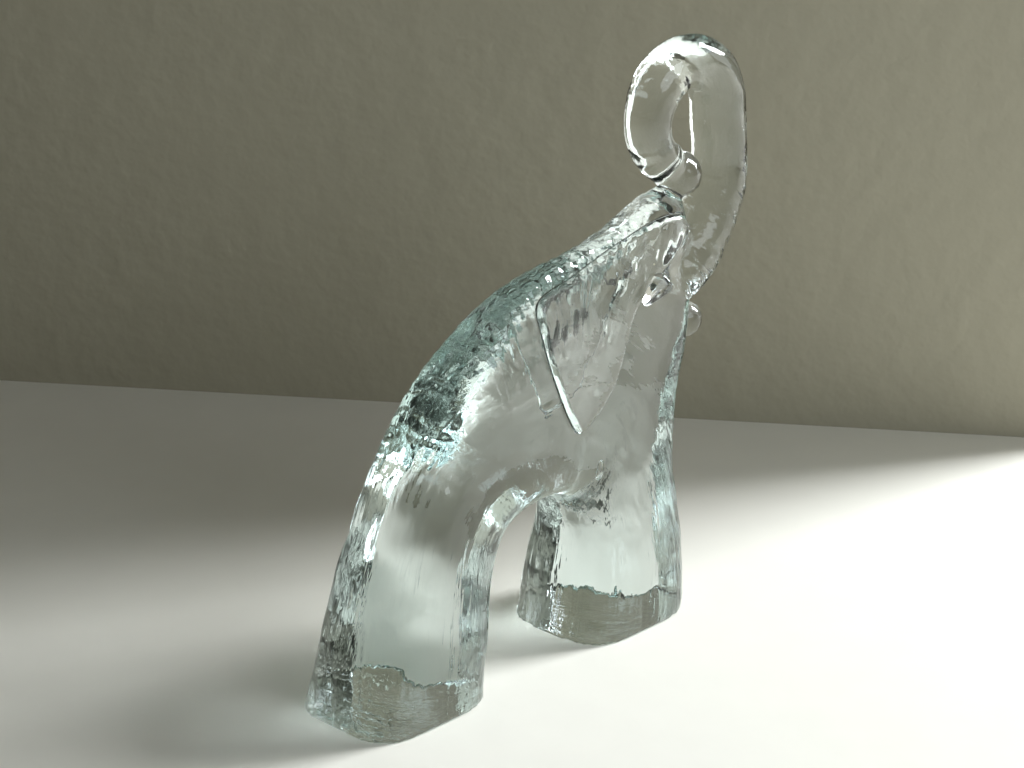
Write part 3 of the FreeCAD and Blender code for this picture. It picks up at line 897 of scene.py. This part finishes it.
class ELEPHANT_OT_drops(Operator):
    """Pull a tusk from each cheek and set the bead of the lower lip"""

    bl_idname = "glass_elephant.drops"
    bl_label = "Tusks and Lower Lip"

    def execute(self, context):
        settings = context.scene.glass_elephant
        for side, node in ((-1, "right_tusk"), (1, "left_tusk")):
            piece = new_piece(f"{node}_drop", tusk_shell(side, settings.drops.tusk_radius / MM))
            settle(piece, bead_glass(settings.glass), [node])
        radius = settings.drops.lip_radius / MM
        bead = facing(closed_grid(ball_grid(LIP_CENTRE, (radius, radius, radius))), 1)
        settle(new_piece("lower_lip_bead", bead), bead_glass(settings.glass), ["lower_lip"])
        return {"FINISHED"}


def look_at(thing, place, target):
    """Stand a light or a camera at a place, looking at a target."""
    thing.location = place
    thing.rotation_euler = (Vector(target) - Vector(place)).to_track_quat("-Z", "Y").to_euler()
    bpy.context.scene.collection.objects.link(thing)


def add_flat(name, corners, material):
    """A flat rectangle of the stage."""
    mesh = bpy.data.meshes.new(name)
    mesh.from_pydata(corners, [], [(0, 1, 2, 3)])
    piece = bpy.data.objects.new(name, mesh)
    bpy.context.scene.collection.objects.link(piece)
    mesh.materials.append(material)


def add_softbox(name, place, target, size, power, colour):
    """A rectangular light that the camera itself doesn't see."""
    light = bpy.data.lights.new(name, "AREA")
    light.shape = "RECTANGLE"
    light.size, light.size_y = size
    light.energy = power
    light.color = colour
    lamp = bpy.data.objects.new(name, light)
    lamp.visible_camera = False
    look_at(lamp, place, target)


def open_from_behind(material):
    """Let the camera see through the back of a surface."""
    nodes, links = material.node_tree.nodes, material.node_tree.links
    side = nodes.new("ShaderNodeNewGeometry")
    clear = nodes.new("ShaderNodeBsdfTransparent")
    mix = nodes.new("ShaderNodeMixShader")
    links.new(side.outputs["Backfacing"], mix.inputs["Fac"])
    links.new(nodes["Principled BSDF"].outputs["BSDF"], mix.inputs[1])
    links.new(clear.outputs["BSDF"], mix.inputs[2])
    links.new(mix.outputs["Shader"], nodes["Material Output"].inputs["Surface"])


def lay_table(settings):
    """The table top, square and wide, a hair below the soles."""
    material = plain_surface("table_top", settings.table_colour, 0.9, (90, 90, 90), 0.0001)
    square = ((-1, -1), (1, -1), (1, 1), (-1, 1))
    add_flat("table", [(x * STAGE_REACH, y * STAGE_REACH, TABLE_TOP) for x, y in square], material)


def raise_wall(settings, along, away):
    """The wall, from far on one side up to where the window begins. It starts below the table top, so
    that no light gets in under it."""
    foot = away * settings.wall_distance
    foot.z = WALL_FOOT
    left = foot - along * STAGE_REACH
    right = foot + along * settings.wall_end
    up = Vector((0, 0, STAGE_REACH))
    material = plain_surface("plaster_wall", settings.wall_colour, 0.95, (130, 130, 130), 0.0006)
    open_from_behind(material)
    add_flat("wall", [tuple(corner) for corner in (left, right, right + up, left + up)], material)


def light_room(scene, brightest, settings):
    """The room itself: dim where it lights the table and the wall, and in the glass a glow that grows
    towards its brightest direction."""
    scene.world = bpy.data.worlds.new("room")
    scene.world.use_nodes = True
    nodes, links = scene.world.node_tree.nodes, scene.world.node_tree.links
    lean = nodes.new("ShaderNodeVectorMath")
    lean.operation = "DOT_PRODUCT"
    lean.inputs[1].default_value = -brightest.normalized()
    links.new(nodes.new("ShaderNodeNewGeometry").outputs["Incoming"], lean.inputs[0])
    glow = nodes.new("ShaderNodeMapRange")
    glow.inputs["From Min"].default_value = GLOW_START
    glow.inputs["To Min"].default_value = settings.glow_low
    glow.inputs["To Max"].default_value = settings.glow_high
    links.new(lean.outputs["Value"], glow.inputs["Value"])
    strength = nodes.new("ShaderNodeMix")
    links.new(nodes.new("ShaderNodeLightPath").outputs["Is Diffuse Ray"], strength.inputs["Factor"])
    links.new(glow.outputs["Result"], strength.inputs["A"])
    strength.inputs["B"].default_value = settings.room_strength
    air = nodes["Background"]
    air.inputs["Color"].default_value = (*ROOM_COLOUR, 1)
    links.new(strength.outputs["Result"], air.inputs["Strength"])


def stand_camera(scene, settings):
    """The camera, at its distance and its two angles from what it looks at."""
    camera = bpy.data.objects.new("camera", bpy.data.cameras.new("camera"))
    camera.data.lens = settings.camera_lens
    camera.data.sensor_width = SENSOR_WIDTH
    camera.data.clip_start = CAMERA_NEAREST
    azimuth, elevation = settings.camera_azimuth, settings.camera_elevation
    level = math.cos(elevation)
    back = Vector((math.sin(azimuth) * level, -math.cos(azimuth) * level, math.sin(elevation)))
    target = Vector(CAMERA_TARGET)
    look_at(camera, target + back * settings.camera_distance, target)
    scene.camera = camera


class ELEPHANT_OT_stage(Operator):
    """Set the table, the wall, the window light, the light of the room and the camera"""

    bl_idname = "glass_elephant.stage"
    bl_label = "Stage"

    def execute(self, context):
        scene = context.scene
        settings = scene.glass_elephant.stage
        away = Vector((math.cos(settings.wall_turn), math.sin(settings.wall_turn), 0))
        along = Vector((away.y, -away.x, 0))

        def place(steps):
            """A place so far along the wall, past the figurine and up."""
            return along * steps[0] + away * steps[1] + Vector((0, 0, steps[2]))

        lay_table(settings)
        raise_wall(settings, along, away)
        for name, where, aim, size, colour in SOFTBOXES:
            add_softbox(name, place(where), (0, 0, aim), size, getattr(settings, f"{name}_power"), colour)
        light_room(scene, place(ROOM_BRIGHTEST), settings)
        scene.view_settings.view_transform = "Standard"
        stand_camera(scene, settings)
        return {"FINISHED"}


class ELEPHANT_PT_sidebar(Panel):
    """Sizes, colours and the buttons that build each piece"""

    bl_label = "Glass Elephant"
    bl_idname = "ELEPHANT_PT_sidebar"
    bl_space_type = "VIEW_3D"
    bl_region_type = "UI"
    bl_category = "Glass Elephant"

    def draw(self, context):
        settings = context.scene.glass_elephant
        for title, group, operators in (
            ("Stage", settings.stage, (ELEPHANT_OT_stage,)),
            ("Glass", settings.glass, ()),
            ("Body", settings.body, (ELEPHANT_OT_body,)),
            ("Ears", settings.ears, (ELEPHANT_OT_ears,)),
            ("Tusks and lip", settings.drops, (ELEPHANT_OT_drops,)),
        ):
            box = self.layout.box()
            box.label(text=title)
            for name in group.__annotations__:
                box.prop(group, name)
            for operator in operators:
                box.operator(operator.bl_idname)


CLASSES = (
    GlassSettings, BodySettings, EarSettings, DropSettings, StageSettings, ElephantSettings,
    ELEPHANT_OT_stage, ELEPHANT_OT_body, ELEPHANT_OT_ears, ELEPHANT_OT_drops, ELEPHANT_PT_sidebar,
)


def register():
    """Register the classes and hang the settings on the scene."""
    for cls in CLASSES:
        bpy.utils.register_class(cls)
    bpy.types.Scene.glass_elephant = PointerProperty(type=ElephantSettings)


def unregister():
    """Take the settings off the scene and unregister the classes."""
    del bpy.types.Scene.glass_elephant
    for cls in reversed(CLASSES):
        bpy.utils.unregister_class(cls)


def main():
    """Build the stage and every piece."""
    register()
    bpy.ops.glass_elephant.stage()
    bpy.ops.glass_elephant.body()
    bpy.ops.glass_elephant.ears()
    bpy.ops.glass_elephant.drops()


if __name__ == "__main__":
    main()
